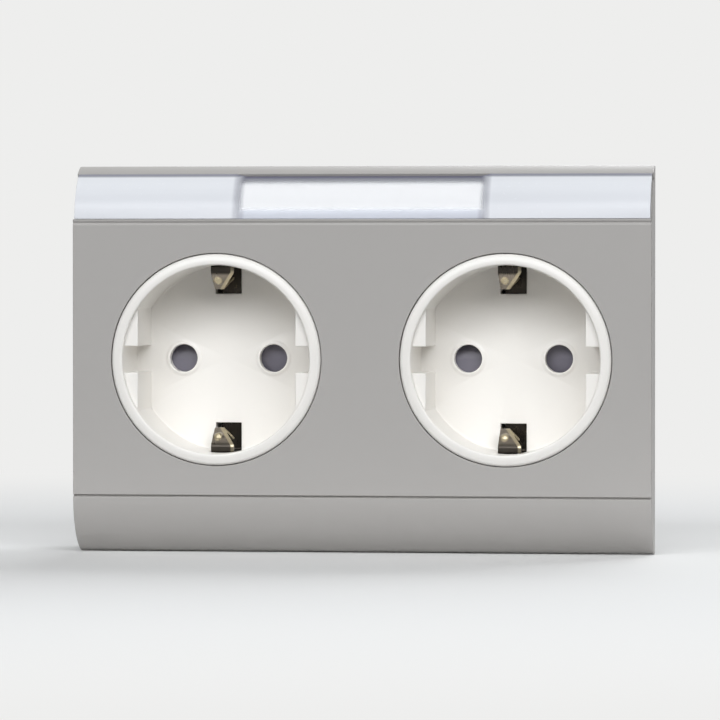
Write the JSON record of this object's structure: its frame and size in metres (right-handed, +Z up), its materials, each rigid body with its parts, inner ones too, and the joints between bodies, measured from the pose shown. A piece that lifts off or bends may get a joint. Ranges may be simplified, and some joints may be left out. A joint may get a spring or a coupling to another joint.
{
  "type": "double wall socket",
  "caption": "Grey double earthed socket unit with white round inserts and a clear label strip, made to clip into the mouth of a wall trunking.",
  "frame": {"origin": "centre of the trunking's mouth, in the plane that the back edges of the cover sit on", "axes": "+X to the right along the trunking, +Y into the wall, +Z up; the face looks along -Y"},
  "size_m": [0.12, 0.0523, 0.08],
  "materials": {
    "cover_plastic": "fine satin moulded stone grey",
    "insert_plastic": "smooth glossy pure white",
    "clear_plastic": "clear plastic",
    "paper": "plain white label paper",
    "shutter_plastic": "satin mid grey",
    "housing_plastic": "fine texture, pale grey",
    "button_plastic": "satin off white",
    "spring_steel": "bright rolled strip and wire",
    "brass": "plain stamped brass",
    "zinc_steel": "zinc plated"
  },
  "bodies": {
    "socket_unit": {"base_housing": "housing_plastic", "cable_clamp_bar": "housing_plastic", "cable_clamp_screw_left": "zinc_steel", "cable_clamp_screw_right": "zinc_steel", "earth_bar": "brass", "earth_bracket_left": "spring_steel", "earth_bracket_right": "spring_steel", "front_cover": "cover_plastic", "housing_screw_1": "zinc_steel", "housing_screw_2": "zinc_steel", "housing_screw_3": "zinc_steel", "housing_screw_4": "zinc_steel", "label_paper": "paper", "label_window": "clear_plastic", "live_busbar": "brass", "neutral_busbar": "brass", "rear_cover": "housing_plastic", "shutter_spring_left": "spring_steel", "shutter_spring_right": "spring_steel", "socket_insert_left": "insert_plastic", "socket_insert_right": "insert_plastic", "terminal_spring_earth": "spring_steel", "terminal_spring_live": "spring_steel", "terminal_spring_neutral": "spring_steel", "trunk_clip_lower_left": "zinc_steel", "trunk_clip_lower_right": "zinc_steel", "trunk_clip_upper_left": "zinc_steel", "trunk_clip_upper_right": "zinc_steel"},
    "shutter_left": {"shutter_left": "shutter_plastic"},
    "shutter_right": {"shutter_right": "shutter_plastic"},
    "release_button_live": {"release_button_live": "button_plastic"},
    "release_button_earth": {"release_button_earth": "button_plastic"},
    "release_button_neutral": {"release_button_neutral": "button_plastic"}
  },
  "joints": [
    {"name": "shutter_left_turn", "type": "hinge", "parent": "socket_unit", "child": "shutter_left", "pos_m": [-0.03, 0.0108, 0], "axis": [0, -1, 0], "range_deg": [0, 42], "stiffness_Nm_per_rad": 0.01, "springref_deg": -11.46, "deforming": ["shutter_spring_left"]},
    {"name": "shutter_right_turn", "type": "hinge", "parent": "socket_unit", "child": "shutter_right", "pos_m": [0.03, 0.0108, 0], "axis": [0, -1, 0], "range_deg": [0, 42], "stiffness_Nm_per_rad": 0.01, "springref_deg": -11.46, "deforming": ["shutter_spring_right"]},
    {"name": "release_button_live_press", "type": "slide", "parent": "socket_unit", "child": "release_button_live", "axis": [0, -1, 0], "range_m": [0, 0.0015], "stiffness_N_per_m": 1500, "springref_m": -0.0003, "deforming": ["terminal_spring_live"]},
    {"name": "release_button_earth_press", "type": "slide", "parent": "socket_unit", "child": "release_button_earth", "axis": [0, -1, 0], "range_m": [0, 0.0015], "stiffness_N_per_m": 1500, "springref_m": -0.0003, "deforming": ["terminal_spring_earth"]},
    {"name": "release_button_neutral_press", "type": "slide", "parent": "socket_unit", "child": "release_button_neutral", "axis": [0, -1, 0], "range_m": [0, 0.0015], "stiffness_N_per_m": 1500, "springref_m": -0.0003, "deforming": ["terminal_spring_neutral"]}
  ]
}
